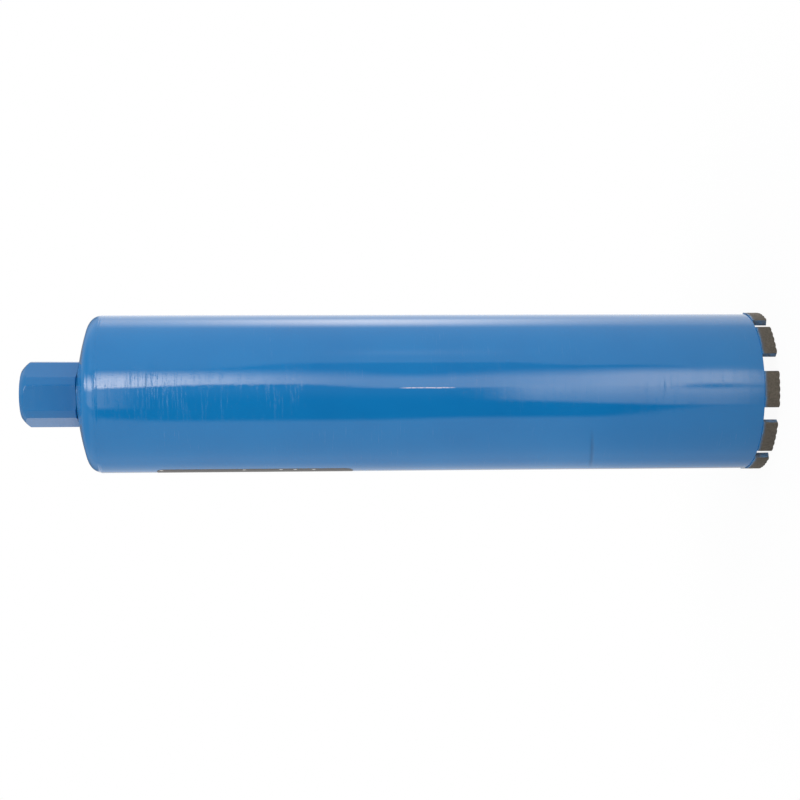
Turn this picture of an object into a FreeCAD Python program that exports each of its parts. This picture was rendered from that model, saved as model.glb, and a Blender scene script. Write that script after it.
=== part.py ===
# Wet diamond core bit: a steel barrel with a ring of diamond segments at one end,
# and a domed end cap with a hexagonal spindle hub at the other.
# It stands on its crown. The origin is the middle of the crown, on the plane of the tooth tips,
# and +Z runs along the axis from the crown to the hub. Front is -Y.

import FreeCAD, Part
import math
import os

import PartDesign
import Sketcher

doc = FreeCAD.newDocument("core_bit")

# Driving dimensions, in millimetres and degrees, each set once
SIZES = {
    # steel tube of the barrel
    "barrel_diameter": 106.5,
    "barrel_wall": 2.5,
    "barrel_length": 436.0,
    # sintered segments, brazed to the end of the tube
    "segment_count": 10,
    "segment_chord": 24.0,
    "segment_height": 10.0,
    "segment_stand_outside": 0.75,
    "segment_stand_inside": 0.75,
    "segment_edge_radius": 0.6,
    "tooth_count": 5,
    "tooth_depth": 0.5,
    "first_segment_angle": -87.8,
    # pressed end cap
    "cap_dome_radius": 145.0,
    "cap_knuckle_radius": 9.0,
    "cap_straight": 0.3,
    "cap_thickness": 6.0,
    "cap_spigot_length": 10.0,
    "cap_spigot_wall": 4.0,
    "cap_spigot_lead": 1.0,
    "cap_spigot_clearance": 0.05,
    # girth weld between the cap and the tube, ground flush
    "seam_weld_depth": 1.2,
    # hexagonal hub
    "hub_across_flats": 41.0,
    "hub_turned_diameter": 44.1,
    "hub_hex_length": 37.53,
    "hub_mouth_chamfer": 5.35,
    "hub_mouth_chamfer_length": 5.3,
    "hub_back_chamfer": 0.6,
    "hub_chamfer_radius": 20.0,
    "hub_neck_diameter": 38.4,
    "hub_neck_height": 0.9,
    "hub_spigot_diameter": 30.0,
    "hub_spigot_stand": 0.8,
    "hub_spigot_lead": 0.8,
    "hub_spigot_clearance": 0.05,
    "hub_turn": -7.2,
    # female spindle thread, one and a quarter inch with seven turns to the inch
    "thread_diameter": 31.75,
    "thread_pitch": 3.629,
    "thread_depth": 33.0,
    "thread_mouth_extra": 0.3,
    "water_bore_diameter": 22.0,
    # fillet weld round the hub's neck
    "hub_weld_leg": 0.9,
    "hub_weld_crown_radius": 1.3,
}

# The segments are brazed on by hand, so each sits a little off the even spacing, in degrees
SEGMENT_DRIFTS = (1.3, 2.3, 0.1, 0.0, -0.2, -0.3, -0.4, -0.6, -0.7, -1.7)

# Minor diameter of a unified thread is the major one less this many pitches
THREAD_HEIGHT = 1.0825

sheet = doc.addObject("Spreadsheet::Sheet", "Sizes")
for row, (word, number) in enumerate(SIZES.items(), start=1):
    sheet.set(f"A{row}", word)
    sheet.set(f"B{row}", str(number))
    sheet.setAlias(f"B{row}", word)
doc.recompute()


def value(text):
    """Number that an expression on the sheet's sizes gives."""
    return float(sheet.evalExpression(text))


# Radii and heights that follow from the sizes, as expressions
BARREL_RADIUS = "(Sizes.barrel_diameter / 2)"
BARREL_BORE_RADIUS = f"({BARREL_RADIUS} - Sizes.barrel_wall)"
SEAM_HEIGHT = "(Sizes.segment_height + Sizes.barrel_length)"

SEGMENT_OUTER_RADIUS = f"({BARREL_RADIUS} + Sizes.segment_stand_outside)"
SEGMENT_INNER_RADIUS = f"({BARREL_BORE_RADIUS} - Sizes.segment_stand_inside)"
TOOTH_PITCH = "(Sizes.segment_chord / Sizes.tooth_count)"
TOOTH_RADIUS = f"(({TOOTH_PITCH} ^ 2 / 4 + Sizes.tooth_depth ^ 2) / (2 * Sizes.tooth_depth))"

HUB_NECK_RADIUS = "(Sizes.hub_neck_diameter / 2)"
HUB_SPIGOT_RADIUS = "(Sizes.hub_spigot_diameter / 2)"
HUB_TURNED_RADIUS = "(Sizes.hub_turned_diameter / 2)"
HUB_TOP = "(Sizes.hub_neck_height + Sizes.hub_hex_length)"

# The cap's own frame has its zero on the seam. The knuckle's arc meets the dome's in a tangent,
# so the dome's centre lies this far under the knuckle's.
KNUCKLE_HEIGHT = "(Sizes.seam_weld_depth + Sizes.cap_straight)"
KNUCKLE_CENTRE_RADIUS = f"({BARREL_RADIUS} - Sizes.cap_knuckle_radius)"
RADIUS_STEP = "(Sizes.cap_dome_radius - Sizes.cap_knuckle_radius)"
DOME_DROP = f"sqrt({RADIUS_STEP} ^ 2 - {KNUCKLE_CENTRE_RADIUS} ^ 2)"
DOME_CENTRE_HEIGHT = f"({KNUCKLE_HEIGHT} - {DOME_DROP})"


def dome_height(radius, inset="0"):
    """Height above the seam of the dome, or of a face set in from it, at a radius."""
    return f"({DOME_CENTRE_HEIGHT} + sqrt((Sizes.cap_dome_radius - {inset}) ^ 2 - {radius} ^ 2))"


HUB_SEAT = dome_height(HUB_NECK_RADIUS)


def origin_plane(body, role):
    """One of a body's own base planes."""
    return next(feature for feature in body.Origin.OriginFeatures if feature.Role == role)


def new_body(name, height="0", turn="0"):
    """Body of one piece, raised along the axis and turned about it."""
    body = doc.addObject("PartDesign::Body", name)
    body.Placement = FreeCAD.Placement(
        FreeCAD.Vector(0, 0, value(height)),
        FreeCAD.Rotation(FreeCAD.Vector(0, 0, 1), value(turn)),
    )
    body.setExpression("Placement.Base.z", height)
    body.setExpression("Placement.Rotation.Angle", turn)
    return body


def new_sketch(body, name, role, height="0"):
    """Empty sketch on a base plane, or at a height above it."""
    sketch = body.newObject("Sketcher::SketchObject", f"{body.Name}_{name}")
    sketch.AttachmentSupport = [(origin_plane(body, role), "")]
    sketch.MapMode = "FlatFace"
    sketch.setExpression("AttachmentOffset.Base.z", height)
    return sketch


def hold_point(sketch, line, end, across, up):
    """Tie one end of a line or an arc to its distances from the sketch's origin."""
    for kind, axis, text in (("DistanceX", -2, across), ("DistanceY", -1, up)):
        distance = value(text)
        if distance == 0:
            sketch.addConstraint(Sketcher.Constraint("PointOnObject", line, end, axis))
        else:
            number = sketch.addConstraint(Sketcher.Constraint(kind, -1, 1, line, end, distance))
            sketch.setExpression(f"Constraints[{number}]", text)


def arc_between(start, end, radius, side):
    """Short arc from start to end, with its centre on the left of the way (1) or the right (-1)."""
    half = (end - start) * 0.5
    reach = math.sqrt(radius ** 2 - half.Length ** 2)
    left = FreeCAD.Vector(-half.y, half.x, 0).normalize()
    centre = start + half + left * (side * reach)
    angles = [math.atan2(spot.y - centre.y, spot.x - centre.x) for spot in (start, end)]
    circle = Part.Circle(centre, FreeCAD.Vector(0, 0, 1), radius)
    return Part.ArcOfCircle(circle, *angles[::side])


def draw_outline(sketch, corners):
    """Closed outline. A corner is two expressions, and a third and a fourth, the radius and the
    side of its centre, where an arc leads to the next corner instead of a line."""
    spots = [FreeCAD.Vector(value(corner[0]), value(corner[1]), 0) for corner in corners]
    first = sketch.GeometryCount
    ends = []
    for index, corner in enumerate(corners):
        start = spots[index]
        end = spots[(index + 1) % len(corners)]
        if len(corner) == 2:
            sketch.addGeometry(Part.LineSegment(start, end), False)
            ends.append((1, 2))
        else:
            radius, side = corner[2:]
            number = sketch.addGeometry(arc_between(start, end, value(radius), side), False)
            bound = sketch.addConstraint(Sketcher.Constraint("Radius", number, value(radius)))
            sketch.setExpression(f"Constraints[{bound}]", radius)
            ends.append((1, 2)[::side])
    for index, corner in enumerate(corners):
        before = (index - 1) % len(corners)
        near = (first + index, ends[index][0])
        sketch.addConstraint(Sketcher.Constraint("Coincident", first + before, ends[before][1], *near))
        hold_point(sketch, *near, corner[0], corner[1])


def turn_profile(body, name, kind, *outlines):
    """Turned feature: closed outlines in radius and height, spun about the axis."""
    sketch = new_sketch(body, f"{name}_profile", "XZ_Plane")
    for corners in outlines:
        draw_outline(sketch, corners)
    feature = body.newObject(f"PartDesign::{kind}", f"{body.Name}_{name}")
    feature.Profile = sketch
    feature.ReferenceAxis = (sketch, ["V_Axis"])
    feature.Angle = 360.0
    return feature


def pad_sketch(body, name, sketch, length):
    """Pad a sketch by a length along its normal."""
    feature = body.newObject("PartDesign::Pad", f"{body.Name}_{name}")
    feature.Profile = sketch
    feature.setExpression("Length", length)
    return feature


# Barrel: drawn steel tube, its cap end bevelled outside for the girth weld

def make_barrel():
    body = new_body("barrel_tube", "Sizes.segment_height")
    turn_profile(body, "wall", "Revolution", (
        (BARREL_BORE_RADIUS, "0"),
        (BARREL_RADIUS, "0"),
        (BARREL_RADIUS, "Sizes.barrel_length - Sizes.seam_weld_depth"),
        (f"{BARREL_RADIUS} - Sizes.seam_weld_depth", "Sizes.barrel_length"),
        (BARREL_BORE_RADIUS, "Sizes.barrel_length"),
    ))
    return body


# End cap: pressed dome with a turned spigot that centres it in the tube and a seat for the hub

def make_end_cap():
    body = new_body("end_cap", SEAM_HEIGHT)
    spigot_radius = f"({BARREL_BORE_RADIUS} - Sizes.cap_spigot_clearance)"
    inner_radius = f"({spigot_radius} - Sizes.cap_spigot_wall)"
    hole_radius = f"({HUB_SPIGOT_RADIUS} + Sizes.hub_spigot_clearance)"
    tangent_radius = f"({KNUCKLE_CENTRE_RADIUS} * Sizes.cap_dome_radius / {RADIUS_STEP})"
    inner_dome_radius = "(Sizes.cap_dome_radius - Sizes.cap_thickness)"
    turn_profile(body, "dome", "Revolution", (
        (inner_radius, "-Sizes.cap_spigot_length"),
        (f"{spigot_radius} - Sizes.cap_spigot_lead", "-Sizes.cap_spigot_length"),
        (spigot_radius, "-(Sizes.cap_spigot_length - Sizes.cap_spigot_lead)"),
        (spigot_radius, "0"),
        (f"{BARREL_RADIUS} - Sizes.seam_weld_depth", "0"),
        (BARREL_RADIUS, "Sizes.seam_weld_depth"),
        (BARREL_RADIUS, KNUCKLE_HEIGHT, "Sizes.cap_knuckle_radius", 1),
        (tangent_radius, dome_height(tangent_radius), "Sizes.cap_dome_radius", 1),
        (HUB_NECK_RADIUS, HUB_SEAT),
        (hole_radius, HUB_SEAT),
        (hole_radius, dome_height(hole_radius, "Sizes.cap_thickness"), inner_dome_radius, -1),
        (inner_radius, dome_height(inner_radius, "Sizes.cap_thickness")),
    ))
    return body


# Girth weld: fills the groove that the two bevels make, ground flush with the barrel

def make_seam_weld():
    body = new_body("seam_weld", SEAM_HEIGHT)
    turn_profile(body, "bead", "Revolution", (
        (f"{BARREL_RADIUS} - Sizes.seam_weld_depth", "0"),
        (BARREL_RADIUS, "-Sizes.seam_weld_depth"),
        (BARREL_RADIUS, "Sizes.seam_weld_depth"),
    ))
    return body


# Hub: hexagon bar with its corners turned down, a neck that seats on the cap, a spigot through it,
# and the spindle thread's bore, drawn at the thread's minor diameter

def draw_hexagon(sketch):
    """Hexagon of the hub's width across flats, with one corner on the sketch's first axis."""
    corner_radius = "Sizes.hub_across_flats / sqrt(3)"
    reach = value(corner_radius)
    middle = FreeCAD.Vector(0, 0, 0)
    circle = sketch.addGeometry(Part.Circle(middle, FreeCAD.Vector(0, 0, 1), reach), True)
    sketch.addConstraint(Sketcher.Constraint("Coincident", circle, 3, -1, 1))
    bound = sketch.addConstraint(Sketcher.Constraint("Radius", circle, reach))
    sketch.setExpression(f"Constraints[{bound}]", corner_radius)
    corners = []
    for step in range(6):
        angle = math.radians(60 * step)
        corners.append(FreeCAD.Vector(reach * math.cos(angle), reach * math.sin(angle), 0))
    sides = []
    for step in range(6):
        side = Part.LineSegment(corners[step], corners[(step + 1) % 6])
        sides.append(sketch.addGeometry(side, False))
    for step, side in enumerate(sides):
        sketch.addConstraint(Sketcher.Constraint("Coincident", side, 2, sides[(step + 1) % 6], 1))
        if step > 0:
            sketch.addConstraint(Sketcher.Constraint("PointOnObject", side, 1, circle))
            sketch.addConstraint(Sketcher.Constraint("Equal", sides[0], side))
    hold_point(sketch, sides[0], 1, corner_radius, "0")


def make_hub():
    body = new_body("hub", f"{SEAM_HEIGHT} + {HUB_SEAT}", "Sizes.hub_turn")
    spigot_end = "-(Sizes.cap_thickness + Sizes.hub_spigot_stand)"
    turn_profile(body, "neck", "Revolution", (
        ("0", spigot_end),
        (f"{HUB_SPIGOT_RADIUS} - Sizes.hub_spigot_lead", spigot_end),
        (HUB_SPIGOT_RADIUS, f"{spigot_end} + Sizes.hub_spigot_lead"),
        (HUB_SPIGOT_RADIUS, "0"),
        (HUB_NECK_RADIUS, "0"),
        (HUB_NECK_RADIUS, "Sizes.hub_neck_height"),
        ("0", "Sizes.hub_neck_height"),
    ))

    hexagon = new_sketch(body, "hexagon", "XY_Plane", "Sizes.hub_neck_height")
    draw_hexagon(hexagon)
    pad_sketch(body, "hex", hexagon, "Sizes.hub_hex_length")

    # Both ends are turned to a slightly crowned chamfer, which meets each flat in a curve
    clear_of_corners = "Sizes.hub_across_flats"
    crown = ("Sizes.hub_chamfer_radius", 1)
    turn_profile(body, "turned_corners", "Groove", (
        (f"{HUB_TURNED_RADIUS} - Sizes.hub_back_chamfer", "Sizes.hub_neck_height", *crown),
        (HUB_TURNED_RADIUS, "Sizes.hub_neck_height + Sizes.hub_back_chamfer"),
        (HUB_TURNED_RADIUS, f"{HUB_TOP} - Sizes.hub_mouth_chamfer_length", *crown),
        (f"{HUB_TURNED_RADIUS} - Sizes.hub_mouth_chamfer", HUB_TOP),
        (clear_of_corners, HUB_TOP),
        (clear_of_corners, "Sizes.hub_neck_height"),
    ))

    minor_radius = f"((Sizes.thread_diameter - {THREAD_HEIGHT} * Sizes.thread_pitch) / 2)"
    mouth_radius = "(Sizes.thread_diameter / 2 + Sizes.thread_mouth_extra)"
    water_radius = "(Sizes.water_bore_diameter / 2)"
    thread_end = f"({HUB_TOP} - Sizes.thread_depth)"
    turn_profile(body, "bore", "Groove", (
        ("0", HUB_TOP),
        (mouth_radius, HUB_TOP),
        (minor_radius, f"{HUB_TOP} - ({mouth_radius} - {minor_radius})"),
        (minor_radius, thread_end),
        (water_radius, f"{thread_end} - ({minor_radius} - {water_radius})"),
        (water_radius, spigot_end),
        ("0", spigot_end),
    ))
    return body


# Fillet weld round the neck, on the dome

def make_hub_weld():
    body = new_body("hub_weld", SEAM_HEIGHT)
    toe_radius = f"({HUB_NECK_RADIUS} + Sizes.hub_weld_leg)"
    turn_profile(body, "bead", "Revolution", (
        (toe_radius, dome_height(toe_radius), "Sizes.hub_weld_crown_radius", 1),
        (HUB_NECK_RADIUS, f"{HUB_SEAT} + Sizes.hub_weld_leg"),
        (HUB_NECK_RADIUS, HUB_SEAT, "Sizes.cap_dome_radius", -1),
    ))
    return body


# Segments: sintered blocks with parallel ends, faces turned to the barrel's curve,
# and a row of low rounded teeth across the crown

def make_segment(index):
    drift = SEGMENT_DRIFTS[index % len(SEGMENT_DRIFTS)]
    turn = f"Sizes.first_segment_angle - {index} * 360 / Sizes.segment_count - {drift}"
    body = new_body(f"segment_{index + 1:02d}", "0", turn)

    end = "(Sizes.segment_chord / 2)"
    corners = []
    for tooth in range(int(SIZES["tooth_count"])):
        corners.append((f"{tooth} * {TOOTH_PITCH} - {end}", "Sizes.tooth_depth", TOOTH_RADIUS, 1))
    corners.append((end, "Sizes.tooth_depth"))
    corners.append((end, "Sizes.segment_height"))
    corners.append((f"-{end}", "Sizes.segment_height"))
    side = new_sketch(body, "side", "YZ_Plane")
    draw_outline(side, corners)
    block_length = f"{SEGMENT_OUTER_RADIUS} + Sizes.segment_stand_outside"
    pad_sketch(body, "block", side, block_length)

    clear_of_block = f"({SEGMENT_OUTER_RADIUS} * 2)"
    turn_profile(body, "curved_faces", "Groove", (
        ("0", "0"),
        (SEGMENT_INNER_RADIUS, "0"),
        (SEGMENT_INNER_RADIUS, "Sizes.segment_height"),
        ("0", "Sizes.segment_height"),
    ), (
        (SEGMENT_OUTER_RADIUS, "0"),
        (clear_of_block, "0"),
        (clear_of_block, "Sizes.segment_height"),
        (SEGMENT_OUTER_RADIUS, "Sizes.segment_height"),
    ))
    doc.recompute()

    turned = body.Tip
    upright = []
    for number, edge in enumerate(turned.Shape.Edges, start=1):
        low, high = (vertex.Point for vertex in (edge.Vertexes[0], edge.Vertexes[-1]))
        if abs(low.x - high.x) < 0.001 and abs(low.y - high.y) < 0.001:
            upright.append(f"Edge{number}")
    fillet = body.newObject("PartDesign::Fillet", f"{body.Name}_soft_corners")
    fillet.Base = (turned, upright)
    fillet.setExpression("Radius", "Sizes.segment_edge_radius")
    return body


pieces = [make_barrel(), make_end_cap(), make_seam_weld(), make_hub(), make_hub_weld()]
pieces += [make_segment(index) for index in range(int(SIZES["segment_count"]))]
doc.recompute()

for item in doc.Objects:
    if "Invalid" in item.State or "Error" in item.State:
        raise RuntimeError(f"{item.Name} failed: {item.State}")
for piece in pieces:
    if piece.Shape.isNull() or not piece.Shape.isValid() or len(piece.Shape.Solids) != 1:
        raise RuntimeError(f"{piece.Label} isn't one valid solid")

os.makedirs("parts", exist_ok=True)
for piece in pieces:
    piece.Shape.exportStep(f"parts/{piece.Label}.step")
    print(f"{piece.Label}: {piece.Shape.Volume / 1000:.3f} cm3")
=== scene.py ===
import math

import bmesh
import bpy
from mathutils import Matrix, Vector, noise


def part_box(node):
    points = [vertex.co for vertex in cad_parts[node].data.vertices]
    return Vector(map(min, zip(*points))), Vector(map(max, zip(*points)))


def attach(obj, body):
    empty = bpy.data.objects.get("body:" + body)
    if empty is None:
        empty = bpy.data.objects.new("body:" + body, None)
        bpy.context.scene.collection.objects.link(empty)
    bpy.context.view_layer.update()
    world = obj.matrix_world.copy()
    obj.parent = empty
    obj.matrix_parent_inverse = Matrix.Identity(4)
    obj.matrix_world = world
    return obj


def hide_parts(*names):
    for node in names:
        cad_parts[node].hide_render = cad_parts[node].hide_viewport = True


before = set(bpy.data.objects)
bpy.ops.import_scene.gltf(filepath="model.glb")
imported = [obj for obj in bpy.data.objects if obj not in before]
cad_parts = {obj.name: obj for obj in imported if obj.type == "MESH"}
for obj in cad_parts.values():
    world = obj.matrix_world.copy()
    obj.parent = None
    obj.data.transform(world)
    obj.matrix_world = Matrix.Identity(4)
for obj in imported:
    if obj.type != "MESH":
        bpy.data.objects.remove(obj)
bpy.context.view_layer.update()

# Barrel
# Drawn steel tube, four hundred and thirty-six millimetres long, with a wall of two and a half.
# Its crown end is cut square for the segments and its other end is bevelled for the girth weld.
# Blue gloss paint is sprayed on the outside and fogs a little way in; the bore stays bare steel.

MM = 0.001
ROUND_STEPS = 256
barrel_low, barrel_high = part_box("barrel_tube")
BARREL_RADIUS = barrel_high.x
BARREL_WALL = 2.5 * MM
BARREL_BORE = BARREL_RADIUS - BARREL_WALL
CROWN_PLANE = barrel_low.z
SEAM_PLANE = barrel_high.z
seam_low, seam_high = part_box("seam_weld")
WELD_DEPTH = (seam_high.z - seam_low.z) / 2
SAW_CUT_EDGE = 0.2 * MM
GROUND_EDGE = 0.05 * MM
HELD_RUN = 2.0 * MM
HOLD = 0.1 * MM

PAINT_BLUE = (0.0035, 0.178, 0.47, 1.0)
PAINT_LIGHT = (0.008, 0.27, 0.62, 1.0)
PAINT_DEEP = (0.001, 0.10, 0.30, 1.0)
# Painted shade: black that the paint is darkened towards, standing in for less light falling on it
PAINTED_SHADE_BLACK = (0.0, 0.0, 0.0, 1.0)
PAINT_CLOUDING = 0.10
PAINT_FOG = 0.3 * MM
SCUFF_PALE = (0.30, 0.42, 0.60, 1.0)
BARE_STEEL = (0.23, 0.22, 0.21, 1.0)
BARE_ROUGHNESS = 0.48
MILL_SCALE = (0.09, 0.08, 0.075, 1.0)
RELIEF_DEPTH = 0.02 * MM

# Turning marks deepen from the first height to the second and weaken from the third to the fourth
MARKS_START = 270.0 * MM
MARKS_FULL = 360.0 * MM
MARKS_FADE = 422.0 * MM
MARKS_END = 442.0 * MM

# Scratch, crease and nicks: heights above the floor, and angles in degrees round from the x axis
SCRATCH_ANGLE = -87.0
SCRATCH_FOOT = 213.0 * MM
SCRATCH_TOP = 252.0 * MM
# Painted highlight: pale colour of the scratch's glint; the scratch has no relief
SCRATCH_PAINTED_GLINT = (0.72, 0.68, 0.78, 1.0)
CREASE_HEIGHT = 136.3 * MM
CREASE_START = -114.0
CREASE_END = -168.0
# Painted shade: dark colour laid into the crease and the nicks
CREASE_PAINTED_SHADE = (0.0, 0.02, 0.06, 1.0)
NICK_HEIGHT = 413.7 * MM
NICK_ANGLE = -82.0
FAINT_NICK_HEIGHT = 76.5 * MM
FAINT_NICK_ANGLE = -88.0


def eased(corners, edges, steps=4):
    """Closed outline with each corner rounded by its own small radius."""
    points = []
    for index, corner in enumerate(corners):
        here = Vector(corner)
        radius = edges[index]
        if radius == 0:
            points.append(here)
            continue
        back = (Vector(corners[index - 1]) - here).normalized()
        ahead = (Vector(corners[(index + 1) % len(corners)]) - here).normalized()
        half = back.angle(ahead) / 2
        centre = here + (back + ahead).normalized() * (radius / math.sin(half))
        reach = radius / math.tan(half)
        start, end = here + back * reach - centre, here + ahead * reach - centre
        start.normalize()
        end.normalize()
        for step in range(steps + 1):
            points.append(centre + start.slerp(end, step / steps).normalized() * radius)
    return points


def arc(centre, radius, start, end, steps):
    """Points on an arc, angles in radians from the first axis."""
    angles = [start + (end - start) * step / steps for step in range(steps + 1)]
    return [Vector((centre[0] + radius * math.cos(a), centre[1] + radius * math.sin(a))) for a in angles]


def link_piece(name, bm):
    """Object made from a bmesh, smooth all over."""
    mesh = bpy.data.meshes.new(name)
    bm.to_mesh(mesh)
    bm.free()
    mesh.shade_smooth()
    piece = bpy.data.objects.new(name, mesh)
    bpy.context.scene.collection.objects.link(piece)
    return piece


def finish_mesh(name, bm, sharp=30):
    """Object made from a bmesh, smooth but for edges sharper than an angle in degrees."""
    bmesh.ops.recalc_face_normals(bm, faces=bm.faces)
    piece = link_piece(name, bm)
    piece.data.set_sharp_from_angle(angle=math.radians(sharp))
    return piece


def held(outline):
    """Outline with a point just inside each end of its long straight runs, so that they shade evenly."""
    points = []
    for index, corner in enumerate(outline):
        here = Vector(corner)
        ahead = Vector(outline[(index + 1) % len(outline)])
        points.append(here)
        if (ahead - here).length > HELD_RUN:
            step = (ahead - here).normalized() * HOLD
            points += [here + step, ahead - step]
    return points


def turned(name, outline, around=ROUND_STEPS, sharp=30, wander=None):
    """Ring turned from a closed outline of radius and height. wander shifts a radius at an angle."""
    bm = bmesh.new()
    rings = []
    for radius, height in held(outline):
        ring = []
        for step in range(around):
            angle = math.tau * step / around
            reach = radius + (wander(radius, height, angle) if wander else 0.0)
            ring.append(bm.verts.new((reach * math.cos(angle), reach * math.sin(angle), height)))
        rings.append(ring)
    for ring, following in zip(rings, rings[1:] + rings[:1]):
        for step in range(around):
            after = (step + 1) % around
            bm.faces.new((ring[step], ring[after], following[after], following[step]))
    return finish_mesh(name, bm, sharp)


def add(tree, kind, sockets=None, **options):
    """Shader node with its options set, and its sockets set to values or linked to other sockets."""
    node = tree.nodes.new("ShaderNode" + kind)
    for option, choice in options.items():
        setattr(node, option, choice)
    for socket, given in (sockets or {}).items():
        if isinstance(given, bpy.types.NodeSocket):
            tree.links.new(given, node.inputs[socket])
        else:
            node.inputs[socket].default_value = given
    return node


def reckon(tree, operation, *terms):
    """Output of a Math node."""
    return add(tree, "Math", dict(enumerate(terms)), operation=operation).outputs[0]


def rise(tree, value, low, high, least=0.0, most=1.0):
    """Smooth step from least at low to most at high. low may be above high."""
    sockets = {"Value": value, "From Min": low, "From Max": high, "To Min": least, "To Max": most}
    return add(tree, "MapRange", sockets, interpolation_type="SMOOTHSTEP").outputs[0]


def blend_colours(tree, mask, first, second):
    """First colour where the mask is 0 and second where it is 1."""
    return add(tree, "Mix", {0: mask, 6: first, 7: second}, data_type="RGBA").outputs[2]


def blend_values(tree, mask, first, second):
    """First value where the mask is 0 and second where it is 1."""
    return add(tree, "Mix", {0: mask, 2: first, 3: second}, data_type="FLOAT").outputs[0]


def stretched(tree, place, scales):
    """Place scaled by its own factor on each axis."""
    return add(tree, "VectorMath", {0: place, 1: scales}, operation="MULTIPLY").outputs[0]


def grain(tree, place, scale, detail=2.0, roughness=0.5):
    """Noise value about 0.5."""
    sockets = {"Vector": place, "Scale": scale, "Detail": detail, "Roughness": roughness}
    return add(tree, "TexNoise", sockets).outputs[0]


def bump_round(tree, value, middle, reach):
    """1 at the middle, falling softly to 0 at a distance from it."""
    off = reckon(tree, "ABSOLUTE", reckon(tree, "SUBTRACT", value, middle))
    return rise(tree, off, reach, 0.0)


def times(tree, first, *others):
    """Product of several values."""
    for other in others:
        first = reckon(tree, "MULTIPLY", first, other)
    return first


def total(tree, first, *others):
    """Sum of several values."""
    for other in others:
        first = reckon(tree, "ADD", first, other)
    return first


def new_group(name, inputs, outputs):
    """Empty node group with named sockets. Returns its tree, its input node and its output node."""
    tree = bpy.data.node_groups.new(name, "ShaderNodeTree")
    kinds = {"value": "NodeSocketFloat", "colour": "NodeSocketColor", "place": "NodeSocketVector"}
    for socket, kind in inputs:
        tree.interface.new_socket(socket, in_out="INPUT", socket_type=kinds[kind])
    for socket, kind in outputs:
        tree.interface.new_socket(socket, in_out="OUTPUT", socket_type=kinds[kind])
    return tree, tree.nodes.new("NodeGroupInput"), tree.nodes.new("NodeGroupOutput")


def place_group(tree, group, sockets=None):
    """Node group placed in a material with its own values."""
    return add(tree, "Group", sockets, node_tree=group)


def new_material(name):
    """Material with an empty Principled shader. Returns the material, its tree and the shader."""
    material = bpy.data.materials.new(name)
    material.use_nodes = True
    tree = material.node_tree
    return material, tree, tree.nodes["Principled BSDF"]


def make_turned_place():
    """Group: where a point lies on a turned piece, as its radius, angle and height."""
    tree, _, ends = new_group(
        "turned_place",
        [],
        [("Radius", "value"), ("Angle", "value"), ("Height", "value"), ("Point", "place")],
    )
    point = add(tree, "TexCoord").outputs["Object"]
    split = add(tree, "SeparateXYZ", {0: point})
    flat = add(tree, "CombineXYZ", {0: split.outputs[0], 1: split.outputs[1], 2: 0.0})
    radius = add(tree, "VectorMath", {0: flat.outputs[0]}, operation="LENGTH").outputs["Value"]
    tree.links.new(radius, ends.inputs["Radius"])
    tree.links.new(reckon(tree, "ARCTAN2", split.outputs[1], split.outputs[0]), ends.inputs["Angle"])
    tree.links.new(split.outputs[2], ends.inputs["Height"])
    tree.links.new(point, ends.inputs["Point"])
    return tree


def make_blue_paint():
    """Group: sprayed gloss enamel over turned steel. Ripple is the depth of the tool marks under it."""
    tree, given, ends = new_group(
        "blue_paint",
        [("Point", "place"), ("Height", "value"), ("Ripple", "value"), ("Scuffs", "value")],
        [("Colour", "colour"), ("Roughness", "value"), ("Relief", "value")],
    )
    point, height = given.outputs["Point"], given.outputs["Height"]
    cloud = grain(tree, point, 14.0, 3.0)
    lighter = blend_colours(tree, PAINT_CLOUDING, PAINT_BLUE, PAINT_LIGHT)
    darker = blend_colours(tree, PAINT_CLOUDING, PAINT_BLUE, PAINT_DEEP)
    colour = blend_colours(tree, rise(tree, cloud, 0.3, 0.7), darker, lighter)

    # Short scuffs run round the barrel, where it was turned in its rack
    streaks = grain(tree, stretched(tree, point, (60.0, 60.0, 1500.0)), 1.0, 4.0, 0.65)
    scuffed = times(
        tree,
        rise(tree, streaks, 0.60, 0.78),
        given.outputs["Scuffs"],
        rise(tree, grain(tree, point, 35.0), 0.45, 0.65),
    )
    colour = blend_colours(tree, times(tree, scuffed, 0.25), colour, SCUFF_PALE)
    tree.links.new(colour, ends.inputs["Colour"])

    rough = reckon(tree, "MULTIPLY_ADD", grain(tree, point, 60.0), 0.05, 0.03)
    rough = reckon(tree, "MULTIPLY_ADD", scuffed, 0.25, rough)
    tree.links.new(rough, ends.inputs["Roughness"])

    along = add(tree, "CombineXYZ", {0: 0.0, 1: 0.0, 2: height}).outputs[0]
    rings = times(tree, grain(tree, along, 170.0, 4.0, 0.6), given.outputs["Ripple"])
    peel = grain(tree, point, 420.0, 2.0)

    # Fine turning marks run round the barrel under the paint, and are deepest towards the cap
    marks = grain(tree, stretched(tree, point, (40.0, 40.0, 1500.0)), 1.0, 2.0)
    marks = times(
        tree,
        rise(tree, marks, 0.57, 0.67),
        rise(tree, grain(tree, point, 24.0, 2.0), 0.42, 0.60, 0.15, 1.0),
        rise(tree, height, MARKS_START, MARKS_FULL, 0.3, 1.0),
        rise(tree, height, MARKS_END, MARKS_FADE, 0.3, 1.0),
    )
    relief = reckon(tree, "MULTIPLY_ADD", peel, 0.10, rings)
    relief = reckon(tree, "MULTIPLY_ADD", marks, -1.1, relief)
    relief = reckon(tree, "MULTIPLY_ADD", scuffed, -0.15, relief)
    tree.links.new(relief, ends.inputs["Relief"])
    return tree


turned_place = make_turned_place()
blue_paint = make_blue_paint()


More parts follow.
